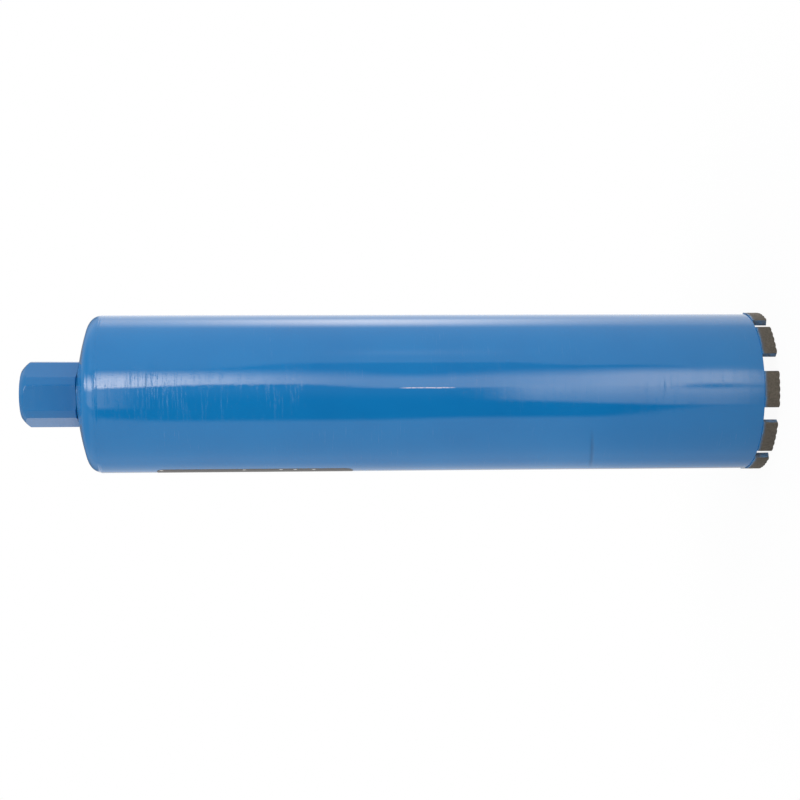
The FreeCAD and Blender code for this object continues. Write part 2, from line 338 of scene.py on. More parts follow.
def make_barrel_marks():
    """Group: one scratch along the barrel, painted pale as a glint, and a shallow crease and two fine nicks
    round part of it.
    """
    tree, given, ends = new_group(
        "barrel_marks",
        [("Point", "place"), ("Angle", "value"), ("Height", "value")],
        [("Scratch", "value"), ("Crease", "value")],
    )
    point, angle, height = given.outputs["Point"], given.outputs["Angle"], given.outputs["Height"]
    waver = reckon(tree, "MULTIPLY_ADD", grain(tree, point, 120.0), 0.010, -0.005)
    scratch = times(
        tree,
        bump_round(tree, reckon(tree, "ADD", angle, waver), math.radians(SCRATCH_ANGLE), 0.010),
        rise(tree, height, SCRATCH_FOOT, SCRATCH_FOOT + 6.0 * MM),
        rise(tree, height, SCRATCH_TOP, SCRATCH_TOP - 8.0 * MM),
        rise(tree, grain(tree, point, 500.0), 0.30, 0.55, 0.35, 1.0),
    )
    tree.links.new(scratch, ends.inputs["Scratch"])
    lean = reckon(tree, "MULTIPLY_ADD", angle, -6.0 * MM, height)
    crease = times(
        tree,
        bump_round(tree, lean, CREASE_HEIGHT, 2.0 * MM),
        rise(tree, angle, math.radians(CREASE_START), math.radians(CREASE_START - 20.0)),
        rise(tree, angle, math.radians(CREASE_END), math.radians(CREASE_END + 16.0)),
    )
    nick = times(
        tree,
        bump_round(tree, height, NICK_HEIGHT, 0.6 * MM),
        bump_round(tree, angle, math.radians(NICK_ANGLE), 0.17),
    )
    faint_nick = times(
        tree,
        bump_round(tree, height, FAINT_NICK_HEIGHT, 0.5 * MM),
        bump_round(tree, angle, math.radians(FAINT_NICK_ANGLE), 0.20),
        0.4,
    )
    tree.links.new(total(tree, crease, nick, faint_nick), ends.inputs["Crease"])
    return tree


barrel_marks = make_barrel_marks()


def painted_steel(name, bare_inside, ripple, scuffs, shade=1.0, marked=False):
    """Blue paint outside a radius and dark bare steel inside it, with overspray between. A shade below 1
    darkens the paint towards black as painted shade.
    """
    material, tree, shader = new_material(name)
    place = place_group(tree, turned_place)
    point, height = place.outputs["Point"], place.outputs["Height"]
    paint = place_group(
        tree, blue_paint, {"Point": point, "Height": height, "Ripple": ripple, "Scuffs": scuffs}
    )
    coat, relief = paint.outputs["Colour"], paint.outputs["Relief"]
    # Painted shade: a shade below 1 darkens the paint towards black for dimmer light
    coat = blend_colours(tree, 1.0 - shade, coat, PAINTED_SHADE_BLACK)
    if marked:
        spot = {"Point": point, "Angle": place.outputs["Angle"], "Height": height}
        marks = place_group(tree, barrel_marks, spot)
        # Painted highlight: the scratch is drawn only as a pale glint in the colour
        coat = blend_colours(tree, marks.outputs["Scratch"], coat, SCRATCH_PAINTED_GLINT)
        # Painted shade: the crease and the nicks are darkened in colour, as well as dented by the bump below
        coat = blend_colours(tree, times(tree, marks.outputs["Crease"], 0.3), coat, CREASE_PAINTED_SHADE)
        relief = reckon(tree, "MULTIPLY_ADD", marks.outputs["Crease"], -2.5, relief)
    scale_cloud = rise(tree, grain(tree, point, 90.0, 5.0, 0.65), 0.35, 0.7)
    steel = blend_colours(tree, scale_cloud, BARE_STEEL, MILL_SCALE)
    wobble = reckon(tree, "MULTIPLY_ADD", grain(tree, point, 300.0, 3.0), 0.5 * MM, -0.25 * MM)
    edge = reckon(tree, "ADD", place.outputs["Radius"], wobble)
    bare = rise(tree, edge, bare_inside + PAINT_FOG, bare_inside - PAINT_FOG)
    tree.links.new(blend_colours(tree, bare, coat, steel), shader.inputs["Base Color"])
    tree.links.new(bare, shader.inputs["Metallic"])
    rough = blend_values(tree, bare, paint.outputs["Roughness"], BARE_ROUGHNESS)
    tree.links.new(rough, shader.inputs["Roughness"])
    bump = add(tree, "Bump", {"Strength": 1.0, "Distance": RELIEF_DEPTH, "Height": relief})
    tree.links.new(bump.outputs[0], shader.inputs["Normal"])
    shader.inputs["IOR"].default_value = 1.5
    return material


def make_barrel():
    corners = [
        (BARREL_BORE, CROWN_PLANE),
        (BARREL_RADIUS, CROWN_PLANE),
        (BARREL_RADIUS, SEAM_PLANE - WELD_DEPTH),
        (BARREL_RADIUS - WELD_DEPTH, SEAM_PLANE),
        (BARREL_BORE, SEAM_PLANE),
    ]
    edges = (SAW_CUT_EDGE, SAW_CUT_EDGE, GROUND_EDGE, 0, 0)
    piece = turned("barrel", eased(corners, edges))
    paint = painted_steel("barrel_paint", BARREL_BORE + BARREL_WALL / 3, 1.0, 0.7, marked=True)
    piece.data.materials.append(paint)
    return piece


barrel = make_barrel()
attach(barrel, "root")
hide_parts("barrel_tube")

# End cap
# Pressed steel dome with a rounded knuckle, and a turned spigot that centres it in the barrel.
# It is welded to the barrel all round and painted with it, inside and out.

cap_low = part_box("end_cap")[0]
hub_low, hub_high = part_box("hub")
DOME_RADIUS = 145.0 * MM
KNUCKLE_RADIUS = 9.0 * MM
CAP_THICKNESS = 6.0 * MM
KNUCKLE_PLANE = SEAM_PLANE + WELD_DEPTH + 0.3 * MM
FIT = 0.05 * MM
SPIGOT_RADIUS = BARREL_BORE - FIT
SPIGOT_BORE = SPIGOT_RADIUS - 4.0 * MM
SPIGOT_CHAMFER = 1.0 * MM
NO_BARE_STEEL = -1.0
NECK_RADIUS = 19.2 * MM
HUB_SPIGOT_RADIUS = 15.0 * MM
KNUCKLE_CENTRE = BARREL_RADIUS - KNUCKLE_RADIUS
DOME_CENTRE = KNUCKLE_PLANE - math.sqrt((DOME_RADIUS - KNUCKLE_RADIUS) ** 2 - KNUCKLE_CENTRE ** 2)
HUB_SEAT = DOME_CENTRE + math.sqrt(DOME_RADIUS ** 2 - NECK_RADIUS ** 2)


def dome_angle(radius, dome=DOME_RADIUS):
    """Angle at the dome's centre, from the level, of the dome's point at a radius."""
    return math.acos(radius / dome)


def make_cap():
    tangent = math.atan2(KNUCKLE_PLANE - DOME_CENTRE, KNUCKLE_CENTRE)
    inner_dome = DOME_RADIUS - CAP_THICKNESS
    hole = HUB_SPIGOT_RADIUS + FIT
    weld_corner = (BARREL_RADIUS - GROUND_EDGE, SEAM_PLANE + WELD_DEPTH + GROUND_EDGE)
    inner_start, inner_end = dome_angle(hole, inner_dome), dome_angle(SPIGOT_BORE, inner_dome)
    outline = [
        Vector((SPIGOT_BORE, cap_low.z)),
        Vector((SPIGOT_RADIUS - SPIGOT_CHAMFER, cap_low.z)),
        Vector((SPIGOT_RADIUS, cap_low.z + SPIGOT_CHAMFER)),
        Vector((SPIGOT_RADIUS, SEAM_PLANE)),
        Vector((BARREL_RADIUS - WELD_DEPTH, SEAM_PLANE)),
    ]
    outline += arc(weld_corner, GROUND_EDGE, -0.8, 0.0, 3)
    outline += arc((KNUCKLE_CENTRE, KNUCKLE_PLANE), KNUCKLE_RADIUS, 0.0, tangent, 28)
    outline += arc((0.0, DOME_CENTRE), DOME_RADIUS, tangent, dome_angle(NECK_RADIUS), 24)[1:]
    outline += [Vector((hole, HUB_SEAT))]
    outline += arc((0.0, DOME_CENTRE), inner_dome, inner_start, inner_end, 16)
    piece = turned("end_cap_dome", outline)
    piece.data.materials.append(painted_steel("cap_paint", NO_BARE_STEEL, 1.2, 0.4))
    return piece


cap = make_cap()
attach(cap, "root")
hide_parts("end_cap")

# Girth weld
# One bead fills the groove between the barrel's bevel and the cap's, and is ground flush.
# The paint hides it, but its two edges still show as fine rings.

WELD_HOLLOW = 0.03 * MM
WELD_TOE = 0.02 * MM
WELD_STEPS = 6


def make_seam_weld():
    def wander(radius, height, angle):
        if radius < BARREL_RADIUS - WELD_DEPTH / 2:
            return 0.0
        spot = Vector((math.cos(angle) * 6, math.sin(angle) * 6, height * 900))
        return -WELD_HOLLOW * (0.5 + noise.noise(spot))

    foot, head = SEAM_PLANE - WELD_DEPTH, SEAM_PLANE + WELD_DEPTH
    outline = [Vector((BARREL_RADIUS - WELD_DEPTH, SEAM_PLANE))]
    outline += [Vector((BARREL_RADIUS - WELD_TOE, foot + WELD_TOE))]
    for step in range(1, WELD_STEPS):
        outline.append(Vector((BARREL_RADIUS, foot + 2 * WELD_DEPTH * step / WELD_STEPS)))
    outline += [Vector((BARREL_RADIUS - WELD_TOE, head - WELD_TOE))]
    piece = turned("girth_weld", outline, wander=wander)
    piece.data.materials.append(painted_steel("seam_paint", NO_BARE_STEEL, 1.0, 0.4))
    return piece


seam_weld = make_seam_weld()
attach(seam_weld, "root")
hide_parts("seam_weld")

# Hub
# Forty-one millimetre hexagon bar, its corners turned down and chamfered at both ends.
# A spigot holds it in the cap, and its bore carries the female thread for the drill's spindle.
# The outside is painted; the thread was plugged and stays bright.

HUB_TOP = hub_high.z
HUB_BOTTOM = hub_low.z
ACROSS_FLATS = 41.0 * MM
TURNED_RADIUS = 22.05 * MM
NECK_HEIGHT = 0.5 * MM
MOUTH_CHAMFER = 5.35 * MM
MOUTH_CHAMFER_LENGTH = 5.3 * MM
BACK_CHAMFER = 0.6 * MM
CHAMFER_RADIUS = 20.0 * MM
HUB_TURN = math.radians(-7.2)
HUB_EDGE = 0.15 * MM
THREAD_RADIUS = 31.75 / 2 * MM
THREAD_PITCH = 25.4 / 7 * MM
THREAD_MINOR = THREAD_RADIUS - 1.0825 / 2 * THREAD_PITCH
THREAD_CREST = 0.25
THREAD_ROOT = 0.875
THREAD_DEPTH = 33.0 * MM
THREAD_ROWS = 18
THREAD_COLUMNS = 120
RUN_OUT_SLOPE = 2.0
MOUTH_RADIUS = THREAD_RADIUS + 0.3 * MM
WATER_RADIUS = 11.0 * MM
SPIGOT_LEAD = 0.8 * MM
CUT_OVERRUN = 1.0 * MM
# Painted shade: the hub's paint is darkened a little for the dimmer light at the hub
HUB_PAINTED_SHADE_LEVEL = 0.92


def thread_radius(turns):
    """Radius of a unified thread's wall at a number of turns, flat at the crest and the root."""
    along = abs((turns % 1.0) - 0.5) * 2
    share = min(max((along - THREAD_CREST) / (THREAD_ROOT - THREAD_CREST), 0.0), 1.0)
    return THREAD_MINOR + (THREAD_RADIUS - THREAD_MINOR) * share


def bore_radius(height, column, thread_end):
    """Radius of the hub's bore at a height: chamfered mouth, thread, run-out and water bore."""
    wall = thread_radius(height / THREAD_PITCH + column / THREAD_COLUMNS)
    run_out = WATER_RADIUS + (height - thread_end) * RUN_OUT_SLOPE
    return max(min(wall, max(run_out, WATER_RADIUS)), MOUTH_RADIUS - (HUB_TOP - height))


def make_thread_plug():
    """Solid of the hub's bore, which is cut out of the hub."""
    thread_end = HUB_TOP - THREAD_DEPTH
    above = HUB_TOP + CUT_OVERRUN
    step = THREAD_PITCH / THREAD_ROWS
    heights = [above - row * step for row in range(int((above - thread_end) / step) + 1)]
    columns = range(THREAD_COLUMNS)
    rows = [[bore_radius(height, column, thread_end) for column in columns] for height in heights]
    for height in (thread_end - 0.1 * MM, HUB_BOTTOM - CUT_OVERRUN):
        heights.append(height)
        rows.append([WATER_RADIUS] * THREAD_COLUMNS)
    bm = bmesh.new()
    rings = []
    for height, row in zip(heights, rows):
        ring = []
        for column, wall in enumerate(row):
            angle = math.tau * column / THREAD_COLUMNS
            ring.append(bm.verts.new((wall * math.cos(angle), wall * math.sin(angle), height)))
        rings.append(ring)
    for ring, following in zip(rings, rings[1:]):
        for column in columns:
            after = (column + 1) % THREAD_COLUMNS
            bm.faces.new((ring[column], ring[after], following[after], following[column]))
    bm.faces.new(rings[0])
    bm.faces.new(rings[-1])
    return finish_mesh("thread_plug", bm)


def apply_modifiers(piece):
    """Bake a piece's modifiers into its mesh."""
    graph = bpy.context.evaluated_depsgraph_get()
    mesh = bpy.data.meshes.new_from_object(piece.evaluated_get(graph))
    piece.modifiers.clear()
    piece.data = mesh


def combine(piece, tool, operation):
    """Cut or intersect a piece with a tool, which is then thrown away."""
    change = piece.modifiers.new(operation.lower(), "BOOLEAN")
    change.operation = operation
    change.solver = "EXACT"
    change.object = tool
    apply_modifiers(piece)
    bpy.data.objects.remove(tool)


def make_hexagon_bar():
    bm = bmesh.new()
    low, high = [], []
    reach = ACROSS_FLATS / math.sqrt(3)
    for step in range(6):
        angle = HUB_TURN + math.tau * step / 6
        east, north = reach * math.cos(angle), reach * math.sin(angle)
        low.append(bm.verts.new((east, north, HUB_BOTTOM - CUT_OVERRUN)))
        high.append(bm.verts.new((east, north, HUB_TOP + CUT_OVERRUN)))
    for step in range(6):
        after = (step + 1) % 6
        bm.faces.new((low[step], low[after], high[after], high[step]))
    bm.faces.new(low)
    bm.faces.new(high)
    return finish_mesh("hexagon_bar", bm)


def bowed(start, end, radius, steps):
    """Points on a shallow arc that bows to the right of the way from start to end."""
    start, end = Vector(start), Vector(end)
    half = (end - start) / 2
    left = Vector((-half.y, half.x)).normalized()
    centre = start + half + left * math.sqrt(radius ** 2 - half.length_squared)
    first = math.atan2(start.y - centre.y, start.x - centre.x)
    last = math.atan2(end.y - centre.y, end.x - centre.x)
    return arc(centre, radius, first, last, steps)


def make_turned_blank():
    """Turned body of the hub before its flats are cut, hollow by less than the bore."""
    hex_bottom = HUB_SEAT + NECK_HEIGHT
    core = WATER_RADIUS - 6.0 * MM
    shoulder = (TURNED_RADIUS, HUB_TOP - MOUTH_CHAMFER_LENGTH)
    outline = [
        (core, HUB_BOTTOM),
        (HUB_SPIGOT_RADIUS - SPIGOT_LEAD, HUB_BOTTOM),
        (HUB_SPIGOT_RADIUS, HUB_BOTTOM + SPIGOT_LEAD),
        (HUB_SPIGOT_RADIUS, HUB_SEAT),
        (NECK_RADIUS, HUB_SEAT),
        (NECK_RADIUS, hex_bottom),
    ]
    back = (TURNED_RADIUS - BACK_CHAMFER, hex_bottom)
    outline += bowed(back, (TURNED_RADIUS, hex_bottom + BACK_CHAMFER), CHAMFER_RADIUS, 5)
    outline += bowed(shoulder, (TURNED_RADIUS - MOUTH_CHAMFER, HUB_TOP), CHAMFER_RADIUS, 12)
    outline += [(core, HUB_TOP)]
    return turned("hub_blank", outline, around=192)


def make_hub():
    piece = make_turned_blank()
    combine(piece, make_hexagon_bar(), "INTERSECT")
    bevel = piece.modifiers.new("edges", "BEVEL")
    bevel.width = HUB_EDGE
    bevel.segments = 3
    bevel.limit_method = "ANGLE"
    bevel.angle_limit = math.radians(25)
    bevel.harden_normals = False
    apply_modifiers(piece)
    combine(piece, make_thread_plug(), "DIFFERENCE")
    piece.name = "hex_hub"
    piece.data.materials.clear()
    paint = painted_steel("hub_paint", MOUTH_RADIUS - 0.05 * MM, 0.5, 0.3, shade=HUB_PAINTED_SHADE_LEVEL)
    piece.data.materials.append(paint)
    piece.data.shade_smooth()
    piece.data.set_sharp_from_angle(angle=math.radians(28))
    even = piece.modifiers.new("even_flats", "WEIGHTED_NORMAL")
    even.keep_sharp = True
    apply_modifiers(piece)
    return piece


hub = make_hub()
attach(hub, "root")
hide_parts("hub")

# Fillet weld
# One bead of weld metal runs round the hub's neck on the dome and holds the hub.
# Its ripples stand under the paint.

WELD_LEG = 0.46 * MM
WELD_REACH = 2.8 * MM
BEAD_RIPPLES = 90
BEAD_RIPPLE = 0.06 * MM
BEAD_STEPS = 8


def make_hub_weld():
    toe = NECK_RADIUS + WELD_REACH
    toe_height = DOME_CENTRE + math.sqrt(DOME_RADIUS ** 2 - toe ** 2)

    def wander(radius, height, angle):
        if radius < NECK_RADIUS + 0.1 * MM:
            return 0.0
        drift = noise.noise(Vector((math.cos(angle) * 3, math.sin(angle) * 3, 0.0))) * 2.0
        lap = abs(math.sin(BEAD_RIPPLES / 2 * angle + drift + (height - HUB_SEAT) * 900))
        return -BEAD_RIPPLE * lap

    outline = [Vector((NECK_RADIUS, HUB_SEAT))]
    for step in range(BEAD_STEPS + 1):
        turn = math.pi / 2 * step / BEAD_STEPS
        radius = NECK_RADIUS + WELD_REACH * math.cos(turn)
        height = toe_height + (HUB_SEAT + WELD_LEG - toe_height) * math.sin(turn)
        outline.append(Vector((radius, height)))
    piece = turned("neck_weld", outline, around=384, sharp=60, wander=wander)
    piece.data.materials.append(painted_steel("weld_paint", NO_BARE_STEEL, 0.2, 0.2))
    return piece


hub_weld = make_hub_weld()
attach(hub_weld, "root")
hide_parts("hub_weld")

# Diamond segments
# Blocks of sintered metal powder and diamond grit, pressed with parallel ends and a row of low teeth.
# Each is brazed to the barrel's end, so its base carries solder and a ragged edge of blue paint.

SEGMENT_CHORD = 24.0 * MM
SEGMENT_HALF = 2.0 * MM
SEGMENT_MIDDLE = BARREL_RADIUS - BARREL_WALL / 2
SEGMENT_EDGE = 0.6 * MM
TOOTH_COUNT = 5
TOOTH_DEPTH = 0.5 * MM
CROWN_EDGE = 0.2 * MM
SIDE_POINTS = 60
END_POINTS = 10
HEIGHT_ROWS = 24
FACE_ROWS = 6
GRIT_RELIEF = 0.09 * MM
MATRIX_BROWN = (0.122, 0.108, 0.088, 1.0)
MATRIX_DARK = (0.080, 0.070, 0.057, 1.0)
OVERSPRAY_BLUE = (0.038, 0.205, 0.45, 1.0)
OVERSPRAY_RAGGED = 0.8 * MM
# Pale grit colour, partly painted highlight for the grit's sparkle
GRIT_PALE_AND_GLINT = (0.20, 0.185, 0.155, 1.0)
BRAZED_RUN = 0.6 * MM


def tooth_height(across):
    """Height of the crown's toothed face above the tooth tips."""
    pitch = SEGMENT_CHORD / TOOTH_COUNT
    radius = (pitch ** 2 / 4 + TOOTH_DEPTH ** 2) / (2 * TOOTH_DEPTH)
    off = (across + SEGMENT_CHORD / 2) % pitch - pitch / 2
    return radius - math.sqrt(max(radius ** 2 - off ** 2, 0.0))


def segment_loop():
    """Rounded rectangle of the segment's section, as distances across and out from its middle."""
    loop = []
    half_chord = SEGMENT_CHORD / 2
    corners = ((1, 1), (-1, 1), (-1, -1), (1, -1))
    for index, (side, face) in enumerate(corners):
        centre = Vector((side * (half_chord - SEGMENT_EDGE), face * (SEGMENT_HALF - SEGMENT_EDGE)))
        start = math.pi / 2 * index
        loop += arc(centre, SEGMENT_EDGE, start, start + math.pi / 2, 4)
        side, face = corners[(index + 1) % 4]
        next_centre = Vector((side * (half_chord - SEGMENT_EDGE), face * (SEGMENT_HALF - SEGMENT_EDGE)))
        turn = start + math.pi / 2
        shift = Vector((math.cos(turn), math.sin(turn))) * SEGMENT_EDGE
        count = SIDE_POINTS if index % 2 == 0 else END_POINTS
        for step in range(1, count):
            loop.append((centre + shift).lerp(next_centre + shift, step / count))
    return loop


def grit(spot, seed):
    """Depth of the pits and grains of the sintered face at a point, from 0 to 1."""
    shifted = spot * 1400 + Vector((seed * 7.3, seed * 3.1, seed * 5.7))
    coarse = noise.noise(shifted * 0.45)
    fine = noise.noise(shifted)
    return min(max(0.5 + 0.45 * coarse + 0.4 * fine, 0.0), 1.0)


def segment_turn(node):
    """Turn about the bit's axis that takes a segment from the x axis to its own place."""
    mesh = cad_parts[node].data
    middle = sum((vertex.co for vertex in mesh.vertices), Vector()) / len(mesh.vertices)
    rough_turn = Matrix.Rotation(-math.atan2(middle.y, middle.x), 4, "Z")
    level = [rough_turn @ vertex.co for vertex in mesh.vertices]
    angles = [math.atan2(corner.y, corner.x) for corner in level]
    return rough_turn.inverted() @ Matrix.Rotation((min(angles) + max(angles)) / 2, 4, "Z")


def segment_levels():
    """Rows of a segment's skin, as shares out from its middle line and up from its teeth."""
    levels = [(row / FACE_ROWS, 0.0) for row in range(FACE_ROWS)]
    levels += [(1.0, row / HEIGHT_ROWS) for row in range(HEIGHT_ROWS + 1)]
    levels += [(row / FACE_ROWS, 1.0) for row in range(FACE_ROWS - 1, -1, -1)]
    return levels


def segment_point(spot, outward, upward, seed):
    """Point of a segment that lies on the x axis, from a spot of its section and its two shares."""
    spine_reach = SEGMENT_CHORD / 2 - SEGMENT_HALF
    spine = Vector((min(max(spot.x, -spine_reach), spine_reach), 0.0))
    across, out = spine.lerp(spot, outward)
    bottom = tooth_height(across)
    tall = CROWN_PLANE - bottom
    rim = max(0.0, 1.0 - (1.0 - outward) * SEGMENT_HALF / CROWN_EDGE)
    height = bottom + tall * upward
    pull = 0.0
    if upward * tall < CROWN_EDGE:
        low = 1.0 - upward * tall / CROWN_EDGE
        height += CROWN_EDGE * 0.5 * rim ** 2 * (low if upward else 1.0)
        pull = CROWN_EDGE * 0.35 * low ** 2 * rim
    radius = SEGMENT_MIDDLE + out - math.copysign(pull, out)
    far = math.sqrt(max(radius ** 2 - across ** 2, 0.0))
    point = Vector((far, across, height))

    # Pits go into the faces and the teeth, and fade out at the brazed base
    inward = Vector((-math.copysign(1.0, out) * rim, 0.0, 0.3 if upward < 0.5 else 0.0))
    keep = min(1.0, (CROWN_PLANE - height) / BRAZED_RUN)
    return point + inward * (GRIT_RELIEF * grit(point, seed) * max(keep, 0.0))


def make_segment(name, node, seed):
    turn = segment_turn(node)
    loop = segment_loop()
    bm = bmesh.new()
    rings = []
    for outward, upward in segment_levels():
        rings.append([bm.verts.new(turn @ segment_point(spot, outward, upward, seed)) for spot in loop])
    count = len(loop)
    for ring, following in zip(rings, rings[1:]):
        for step in range(count):
            after = (step + 1) % count
            bm.faces.new((ring[step], ring[after], following[after], following[step]))
    bmesh.ops.remove_doubles(bm, verts=bm.verts, dist=0.002 * MM)
    return finish_mesh(name, bm, sharp=50)


def segment_ends(tree, point):
    """1 on the two ends of a segment, which face its neighbours, and 0 on its faces and teeth."""
    normal = add(tree, "NewGeometry").outputs["Normal"]
    level = stretched(tree, point, (1.0, 1.0, 0.0))
    outward = add(tree, "VectorMath", {0: level}, operation="NORMALIZE").outputs[0]
    facing = add(tree, "VectorMath", {0: normal, 1: outward}, operation="DOT_PRODUCT").outputs["Value"]
    upright = reckon(tree, "ABSOLUTE", add(tree, "SeparateXYZ", {0: normal}).outputs[2])
    sideways = rise(tree, reckon(tree, "ABSOLUTE", facing), 0.75, 0.45)
    return times(tree, sideways, rise(tree, upright, 0.6, 0.3))


def sintered_matrix():
    """Grey-brown sintered metal, dotted with pale grit specks that are partly painted glints, with blue
    overspray at its base.
    """
    material, tree, shader = new_material("segment_matrix")
    place = place_group(tree, turned_place)
    point, height = place.outputs["Point"], place.outputs["Height"]
    patches = rise(tree, grain(tree, point, 700.0, 4.0, 0.7), 0.36, 0.64)
    colour = blend_colours(tree, patches, MATRIX_DARK, MATRIX_BROWN)
    specks = add(tree, "TexVoronoi", {"Vector": point, "Scale": 1500.0}).outputs["Distance"]
    grit_and_glint = times(tree, rise(tree, specks, 0.28, 0.12), rise(tree, grain(tree, point, 900.0), 0.50, 0.62))
    # Pale specks: the diamond grit's own colour, and partly painted highlight standing in for its sparkle
    colour = blend_colours(tree, times(tree, grit_and_glint, 0.7), colour, GRIT_PALE_AND_GLINT)

    rag = grain(tree, point, 330.0, 4.0, 0.6)
    rag = reckon(tree, "MULTIPLY_ADD", rag, 2 * OVERSPRAY_RAGGED, -OVERSPRAY_RAGGED)
    line = reckon(tree, "ADD", height, rag)
    fog = rise(tree, line, CROWN_PLANE - 2.2 * MM, CROWN_PLANE - 0.2 * MM, 0.0, 0.35)
    edge = rise(tree, line, CROWN_PLANE - 0.55 * MM, CROWN_PLANE - 0.35 * MM)
    edge = times(tree, edge, rise(tree, grain(tree, point, 150.0), 0.35, 0.60, 0.55, 1.0))
    patchy = rise(tree, grain(tree, point, 260.0, 3.0), 0.35, 0.60, 0.2, 0.6)
    end_coat = times(tree, segment_ends(tree, point), patchy)
    painted = reckon(tree, "MAXIMUM", reckon(tree, "MAXIMUM", fog, edge), end_coat)
    colour = blend_colours(tree, painted, colour, OVERSPRAY_BLUE)
    tree.links.new(colour, shader.inputs["Base Color"])
    metal = times(tree, reckon(tree, "SUBTRACT", 1.0, painted), 0.35)
    tree.links.new(metal, shader.inputs["Metallic"])
    tree.links.new(blend_values(tree, painted, 0.72, 0.25), shader.inputs["Roughness"])
    pits = grain(tree, point, 1600.0, 3.0, 0.6)
    relief = reckon(tree, "MULTIPLY_ADD", pits, 0.8, times(tree, grit_and_glint, 0.5))
    bump = add(tree, "Bump", {"Strength": 0.7, "Distance": 0.12 * MM, "Height": relief})
    tree.links.new(bump.outputs[0], shader.inputs["Normal"])
    return material


matrix = sintered_matrix()
segment_nodes = sorted(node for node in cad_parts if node.startswith("segment_"))
for seed, node in enumerate(segment_nodes):
    segment = make_segment(node.replace("segment", "diamond_segment"), node, seed)
    segment.data.materials.append(matrix)
    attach(segment, "root")
    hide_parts(node)

# Printed field
# A dark panel is screen-printed on the barrel, on the side that the front view sees edge-on.
# It holds a row of dots and four bars.

# Heights above the floor in millimetres, and angles in degrees round from the front
PRINT_LOW = 280.0
PRINT_HIGH = 411.0
PRINT_START = 71.4
PRINT_END = 128.0
PRINT_LIFT = 0.03
PRINT_CORNER = 5.0
DOT_HEIGHTS = (305.0, 317.5, 327.0, 351.5, 406.5)
DOT_LENGTH = 2.4
DOT_START = PRINT_START + 1.6
DOT_END = PRINT_START + 3.6
DOT_CORNER = 0.9
BARS = (
    (288.0, 400.0, 84.0, 90.0),
    (288.0, 360.0, 96.0, 99.0),
    (288.0, 335.0, 104.0, 107.0),
    (372.0, 400.0, 96.0, 118.0),
)
BAR_CORNER = 1.0
SECOND_INK_LIFT = 0.06
PRINT_DARK = (0.020, 0.012, 0.010, 1.0)
PRINT_PALE = (0.72, 0.72, 0.70, 1.0)
INK_GREY = (0.2, 0.2, 0.2, 1.0)


def print_patch(name, low, high, start, end, lift, corner):
    """Patch of ink on the barrel between two heights and two angles, with rounded corners."""
    reach = BARREL_RADIUS + lift
    wide = abs(end - start) * reach
    tall = high - low
    columns = max(8, int(wide / (0.7 * MM)))
    bm = bmesh.new()
    bottom, top = [], []
    for step in range(columns + 1):
        along = wide * step / columns
        inset = max(corner - along, corner - (wide - along), 0.0)
        drop = corner - math.sqrt(max(corner ** 2 - inset ** 2, 0.0))
        angle = start + (end - start) * step / columns
        place = Vector((reach * math.cos(angle), reach * math.sin(angle), 0.0))
        bottom.append(bm.verts.new(place + Vector((0, 0, low + drop))))
        top.append(bm.verts.new(place + Vector((0, 0, high - drop))))
    for step in range(columns):
        bm.faces.new((bottom[step], bottom[step + 1], top[step + 1], top[step]))
    bmesh.ops.recalc_face_normals(bm, faces=bm.faces)
    for face in bm.faces:
        middle = face.calc_center_median()
        if face.normal.dot(Vector((middle.x, middle.y, 0.0))) < 0:
            face.normal_flip()
    return link_piece(name, bm)


def print_ink(name, colour):
    """Screen ink: even colour with faint mottling and a soft gloss."""
    material, tree, shader = new_material(name)
    place = place_group(tree, turned_place)
    mottle = rise(tree, grain(tree, place.outputs["Point"], 500.0, 3.0), 0.3, 0.7, 0.0, 0.12)
    tree.links.new(blend_colours(tree, mottle, colour, INK_GREY), shader.inputs["Base Color"])
    rough = reckon(tree, "MULTIPLY_ADD", grain(tree, place.outputs["Point"], 300.0), 0.1, 0.30)
    tree.links.new(rough, shader.inputs["Roughness"])
    shader.inputs["IOR"].default_value = 1.4
    return material


dark_ink = print_ink("dark_ink", PRINT_DARK)
pale_ink = print_ink("pale_ink", PRINT_PALE)


def add_print(name, low, high, start, end, lift, corner, ink):
    """Patch of ink between two heights in millimetres and two angles in degrees round from the front."""
    angles = (math.radians(-90 - start), math.radians(-90 - end))
    patch = print_patch(name, low * MM, high * MM, *angles, lift * MM, corner * MM)
    patch.data.materials.append(ink)
    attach(patch, "root")


add_print("print_field", PRINT_LOW, PRINT_HIGH, PRINT_START, PRINT_END, PRINT_LIFT, PRINT_CORNER, dark_ink)
for index, height in enumerate(DOT_HEIGHTS):
    spot = (height, height + DOT_LENGTH, DOT_START, DOT_END)
    add_print(f"print_dot_{index + 1}", *spot, SECOND_INK_LIFT, DOT_CORNER, pale_ink)
for index, bar in enumerate(BARS):
    add_print(f"print_bar_{index + 1}", *bar, SECOND_INK_LIFT, BAR_CORNER, pale_ink)

# Studio
# The bit stands on its crown on a pale floor in soft, even light. The world shows white behind it,
# and its gloss reflects a pale room with a darker gap in front, crossed by a strip light.

FLOOR_SIZE = 8.0
FLOOR_PALE = (0.86, 0.86, 0.86, 1.0)
FLOOR_PALER = (0.9, 0.9, 0.9, 1.0)
FLOOR_BOUNCE = (0.38, 0.38, 0.38, 1.0)
WHITE = (1.0, 1.0, 1.0, 1.0)
ROOM_LEVEL = 0.88
ROOM_GLOSS = 1.03
LAMP_TINT = (1.0, 0.88, 0.76)


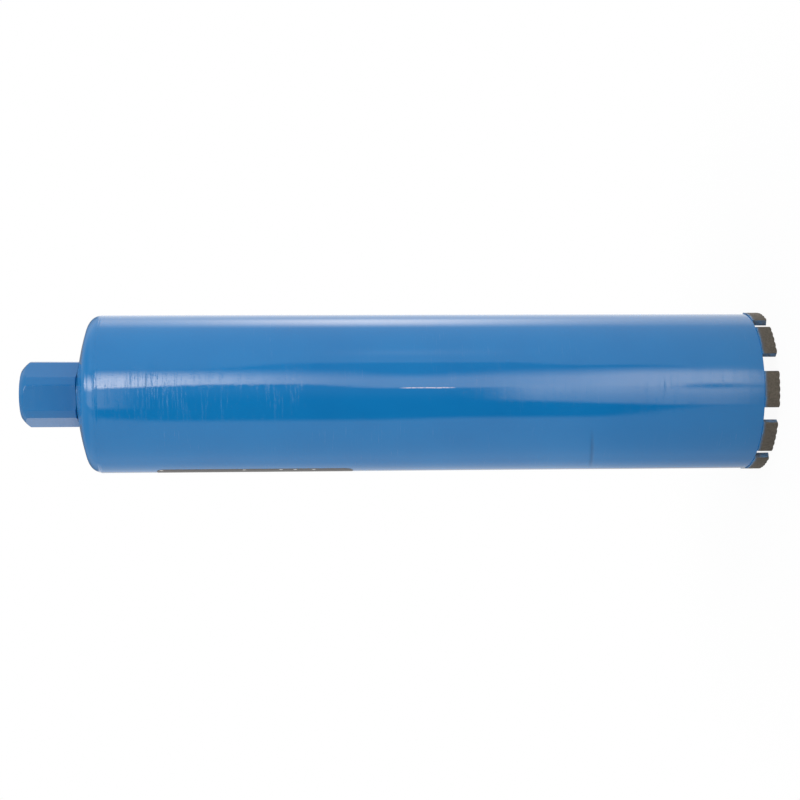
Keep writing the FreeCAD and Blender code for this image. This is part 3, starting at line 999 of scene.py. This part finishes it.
def make_floor():
    bm = bmesh.new()
    half = FLOOR_SIZE / 2
    corners = ((-half, -half), (half, -half), (half, half), (-half, half))
    bm.faces.new([bm.verts.new((east, north, 0.0)) for east, north in corners])
    piece = finish_mesh("floor", bm)
    material, tree, shader = new_material("floor_white")
    shader.inputs["Roughness"].default_value = 0.9
    point = add(tree, "TexCoord").outputs["Object"]
    pale = blend_colours(tree, grain(tree, point, 3.0), FLOOR_PALE, FLOOR_PALER)
    away = add(tree, "VectorMath", {0: point}, operation="LENGTH").outputs["Value"]
    direct = add(tree, "LightPath").outputs["Is Camera Ray"]

    # The floor next to the bit sends less light up to it, and fades to white for the camera
    bounce = times(tree, rise(tree, away, 0.22, 0.12), reckon(tree, "SUBTRACT", 1.0, direct))
    tree.links.new(blend_colours(tree, bounce, pale, FLOOR_BOUNCE), shader.inputs["Base Color"])
    seen = times(tree, rise(tree, away, 0.04, 0.35, 0.945, 1.0), direct)
    glow = add(tree, "Emission", {"Color": WHITE, "Strength": 1.0})
    mix = add(tree, "MixShader", {0: seen, 1: shader.outputs[0], 2: glow.outputs[0]})
    tree.links.new(mix.outputs[0], tree.nodes["Material Output"].inputs["Surface"])
    piece.data.materials.append(material)
    piece.visible_glossy = False
    return piece


floor = make_floor()


# The gloss sees the room by azimuth, where 0 is the front, and by elevation, both in degrees. The wall
# of the barrel sees elevations from -17 at the crown to 8 at the seam, the hub's flats see 9 to 11,
# and the dome and the chamfers see what is above that.


def past_edge(tree, value, edge, soft):
    """Soft step from 0 to 1 as a value passes an edge that moves. A negative soft turns it round."""
    return rise(tree, value, reckon(tree, "SUBTRACT", edge, soft), reckon(tree, "ADD", edge, soft))


def dark_gap(tree, around, above):
    """Darker gap in the front of the room, between two edges that lean along the barrel."""
    top = rise(tree, bump_round(tree, above, -3.5, 9.0), 0.0, 0.6, 35.0, 44.0)
    top = reckon(tree, "MULTIPLY_ADD", bump_round(tree, above, -11.8, 3.5), 4.5, top)
    bottom = total(
        tree,
        rise(tree, above, -2.0, -6.0, -40.0, -37.0),
        rise(tree, above, 5.0, 10.0, 0.0, 8.0),
        rise(tree, above, -10.5, -15.5, 0.0, 17.0),
    )
    return times(
        tree,
        past_edge(tree, around, top, -2.0),
        past_edge(tree, around, bottom, 4.0),
        rise(tree, above, 13.0, 8.0, 0.35, 1.0),
        rise(tree, above, 60.0, 35.0),
        rise(tree, around, -12.0, 8.0, 0.96, 0.70),
    )


def room_reflection(tree, around, above):
    """Level of the pale room that the gloss reflects."""
    room = reckon(tree, "MULTIPLY_ADD", dark_gap(tree, around, above), -ROOM_GLOSS, ROOM_GLOSS)
    dim = times(tree, rise(tree, above, -9.0, -12.0, 0.0, 0.2), rise(tree, around, 0.0, -30.0))
    far_side = rise(tree, around, -105.0, -125.0, 1.0, 0.78)

    # Behind the bit and above it the room is dimmer
    behind = rise(tree, reckon(tree, "ABSOLUTE", around), 125.0, 165.0)
    dimmer = times(
        tree,
        reckon(tree, "MAXIMUM", behind, rise(tree, above, 30.0, 60.0)),
        rise(tree, above, 8.8, 14.0),
        rise(tree, above, 10.0, 60.0, 0.8, 0.44),
    )
    room = times(tree, room, reckon(tree, "SUBTRACT", 1.0, dim), far_side)
    return times(tree, room, reckon(tree, "SUBTRACT", 1.0, dimmer))


def strip_light(tree, around, above):
    """Strip light that crosses the gap, thinner at the barrel's waist and brighter at its ends."""
    waist = bump_round(tree, above, -4.2, 4.5)
    top = reckon(tree, "MULTIPLY_ADD", waist, -8.0, rise(tree, above, -9.0, -13.0, 37.0, 39.0))
    foot = total(tree, rise(tree, above, 3.0, 9.0, 13.0, 7.5), rise(tree, above, 0.8, -3.0, 0.0, -6.5))
    level = total(tree, rise(tree, above, -2.0, 9.5, 2.0, 11.0), rise(tree, above, -4.5, -14.0, 0.0, 2.6))
    return times(
        tree,
        rise(tree, around, top, rise(tree, above, -9.0, -13.0, 18.0, 23.0)),
        past_edge(tree, around, foot, 2.0),
        level,
        rise(tree, above, 8.8, 8.3),
    )


def soft_box(tree, around, above):
    """Broad soft box that only the barrel's crown end sees."""
    edge = reckon(tree, "MAXIMUM", reckon(tree, "MULTIPLY_ADD", above, 1.3, -1.9), -19.5)
    return times(
        tree,
        past_edge(tree, around, edge, 3.0),
        rise(tree, around, 22.0, 8.0),
        rise(tree, above, -6.2, -8.6),
        rise(tree, around, -18.0, 14.0, 1.7, 3.8),
    )


def crown_shade(tree, around, above):
    """Share of the front lights that is left at the crown, where a dark slot crosses them."""
    slot = times(
        tree,
        bump_round(tree, around, 7.5, 7.0),
        rise(tree, above, -13.7, -14.4),
        rise(tree, above, -16.3, -15.5, 0.4, 1.0),
    )
    left = reckon(tree, "MULTIPLY_ADD", slot, -0.95, 1.0)
    return times(tree, left, rise(tree, above, -15.6, -17.2, 1.0, 0.3))


def hub_light(tree, around, above):
    """End of the strip, which the seam and the dome see well and the hub's flats see weakly."""
    hub_seen = times(tree, rise(tree, above, 8.3, 8.8), rise(tree, above, 14.0, 11.5))
    return times(
        tree,
        rise(tree, around, -24.0, -18.0),
        rise(tree, around, 15.0, 8.0),
        rise(tree, above, 6.2, 8.4),
        rise(tree, hub_seen, 0.0, 1.0, 1.9, 0.5),
        rise(tree, above, 8.8, 16.0, 1.0, 0.75),
        rise(tree, above, 75.0, 45.0),
    )


def overhead_light(tree, above, east, north):
    """The strip runs on overhead, with one dark joint, where only the cap's knuckle sees it."""
    reach = rise(tree, above, 35.0, 75.0, 0.38, 0.26)
    return times(
        tree,
        rise(tree, east, 0.02, 0.17),
        rise(tree, east, reckon(tree, "ADD", reach, 0.08), reckon(tree, "SUBTRACT", reach, 0.16)),
        rise(tree, above, 12.0, 18.0, 0.0, 8.0),
        rise(tree, north, 0.0, -0.06),
        reckon(tree, "SUBTRACT", 1.0, bump_round(tree, above, 57.0, 5.0)),
    )


def side_lights(tree, around, above):
    """Small lamp at the side, a window and a pale wall behind it, and a low wall on the far side."""
    small_lamp = times(tree, bump_round(tree, around, 60.0, 8.0), bump_round(tree, above, -4.0, 5.0), 0.45)
    window = times(
        tree,
        rise(tree, around, 108.0, 124.0),
        rise(tree, around, 142.0, 128.0),
        reckon(tree, "MULTIPLY_ADD", bump_round(tree, above, -2.0, 9.0), 2.2, 0.7),
        rise(tree, above, -14.0, -9.0, 0.3, 1.0),
        rise(tree, above, 9.5, 8.0),
    )
    pale_wall = times(tree, rise(tree, around, 108.0, 122.0, 0.0, 0.3), rise(tree, above, 10.0, 8.8))
    low_wall = times(
        tree,
        rise(tree, around, -120.0, -128.0),
        rise(tree, above, 8.5, 9.0),
        rise(tree, above, 14.0, 11.5),
        0.5,
    )
    return total(tree, small_lamp, window, pale_wall, low_wall)


def lamp_reflection(tree, around, above, east, north):
    """Level of all the lights that the gloss reflects."""
    front = reckon(tree, "MAXIMUM", strip_light(tree, around, above), soft_box(tree, around, above))
    return total(
        tree,
        times(tree, front, crown_shade(tree, around, above)),
        hub_light(tree, around, above),
        overhead_light(tree, above, east, north),
        side_lights(tree, around, above),
    )


def make_world():
    world = bpy.data.worlds.new("studio")
    bpy.context.scene.world = world
    world.use_nodes = True
    tree = world.node_tree
    tree.nodes.clear()
    way = add(tree, "SeparateXYZ", {0: add(tree, "TexCoord").outputs["Generated"]})
    east, north, up = way.outputs
    toward_front = times(tree, north, -1.0)
    around = reckon(tree, "DEGREES", reckon(tree, "ARCTAN2", east, toward_front))
    above = reckon(tree, "DEGREES", reckon(tree, "ARCSINE", up))
    room = room_reflection(tree, around, above)
    lamps = lamp_reflection(tree, around, above, east, north)
    mixed = add(tree, "VectorMath", {0: lamps, 1: LAMP_TINT, 2: room}, operation="MULTIPLY_ADD").outputs[0]
    rays = add(tree, "LightPath").outputs
    plain = add(tree, "Background", {"Color": WHITE, "Strength": ROOM_LEVEL}).outputs[0]
    mirrored = add(tree, "Background", {"Color": mixed, "Strength": 1.0}).outputs[0]
    backdrop = add(tree, "Background", {"Color": WHITE, "Strength": 1.0}).outputs[0]
    glossy = add(tree, "MixShader", {0: rays["Is Glossy Ray"], 1: plain, 2: mirrored}).outputs[0]
    seen = add(tree, "MixShader", {0: rays["Is Camera Ray"], 1: glossy, 2: backdrop}).outputs[0]
    tree.links.new(seen, add(tree, "OutputWorld").inputs["Surface"])


make_world()


KEY_PLACE = Vector((1.5, -1.2, 1.6))
KEY_AIM = Vector((0.0, 0.0, 0.25))
KEY_SIZE = 1.2
KEY_POWER = 10.0


def make_key_lamp():
    lamp = bpy.data.lights.new("key_lamp", "AREA")
    lamp.shape = "DISK"
    lamp.size = KEY_SIZE
    lamp.energy = KEY_POWER
    holder = bpy.data.objects.new("key_lamp", lamp)
    bpy.context.scene.collection.objects.link(holder)
    holder.location = KEY_PLACE
    holder.rotation_euler = (KEY_AIM - KEY_PLACE).to_track_quat("-Z", "Y").to_euler()
    holder.visible_glossy = False


make_key_lamp()

# Camera
# One metre in front, a little above the barrel's middle and tilted down to it. It lies on its side,
# as in the photograph, so that the hub is on the left and the crown on the right.

CAMERA_PLACE = Vector((-0.00503, -1.0334, 0.30723))
CAMERA_LENS = 68.22
CAMERA_TILT = math.radians(-3.323)
CAMERA_ROLL = math.radians(-90.315)


def make_camera():
    lens = bpy.data.cameras.new("camera")
    lens.lens = CAMERA_LENS
    lens.sensor_width = 36.0
    lens.clip_start = 0.01
    camera = bpy.data.objects.new("camera", lens)
    bpy.context.scene.collection.objects.link(camera)
    level = Matrix.Rotation(math.pi / 2 + CAMERA_TILT, 4, "X")
    camera.matrix_world = Matrix.Translation(CAMERA_PLACE) @ level @ Matrix.Rotation(CAMERA_ROLL, 4, "Z")
    bpy.context.scene.camera = camera


make_camera()
bpy.context.scene.view_settings.view_transform = "Standard"
